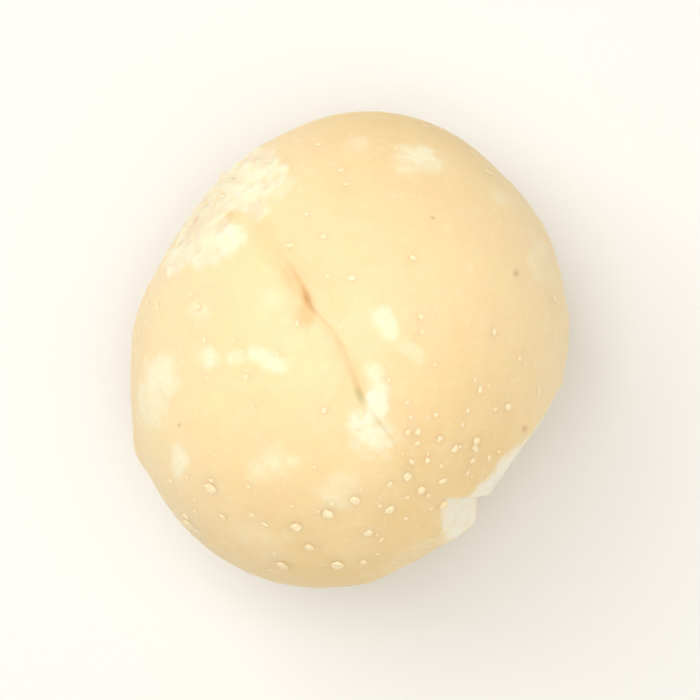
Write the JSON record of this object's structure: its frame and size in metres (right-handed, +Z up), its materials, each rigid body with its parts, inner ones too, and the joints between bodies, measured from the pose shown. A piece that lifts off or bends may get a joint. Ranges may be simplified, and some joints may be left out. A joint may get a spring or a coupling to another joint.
{
  "type": "shelled macadamia kernel",
  "caption": "Single shelled macadamia kernel, nearly round and pale, with a seam, a rough scar and a broken edge; rests on a small flat spot.",
  "frame": {"origin": "middle of the small flat spot under the kernel, at the bottom centre of its bounding box", "axes": "+Z up, away from the surface it rests on; +Y the longest way across, towards the round end; the seam crosses the top from -X +Y, where the scar is, to +X -Y, where the broken edge is"},
  "size_m": [0.0177, 0.0192, 0.0165],
  "materials": {
    "kernel_flesh": "waxy satin, cream, with chalky white patches"
  },
  "bodies": {
    "root": {"kernel": "kernel_flesh"}
  },
  "joints": []
}
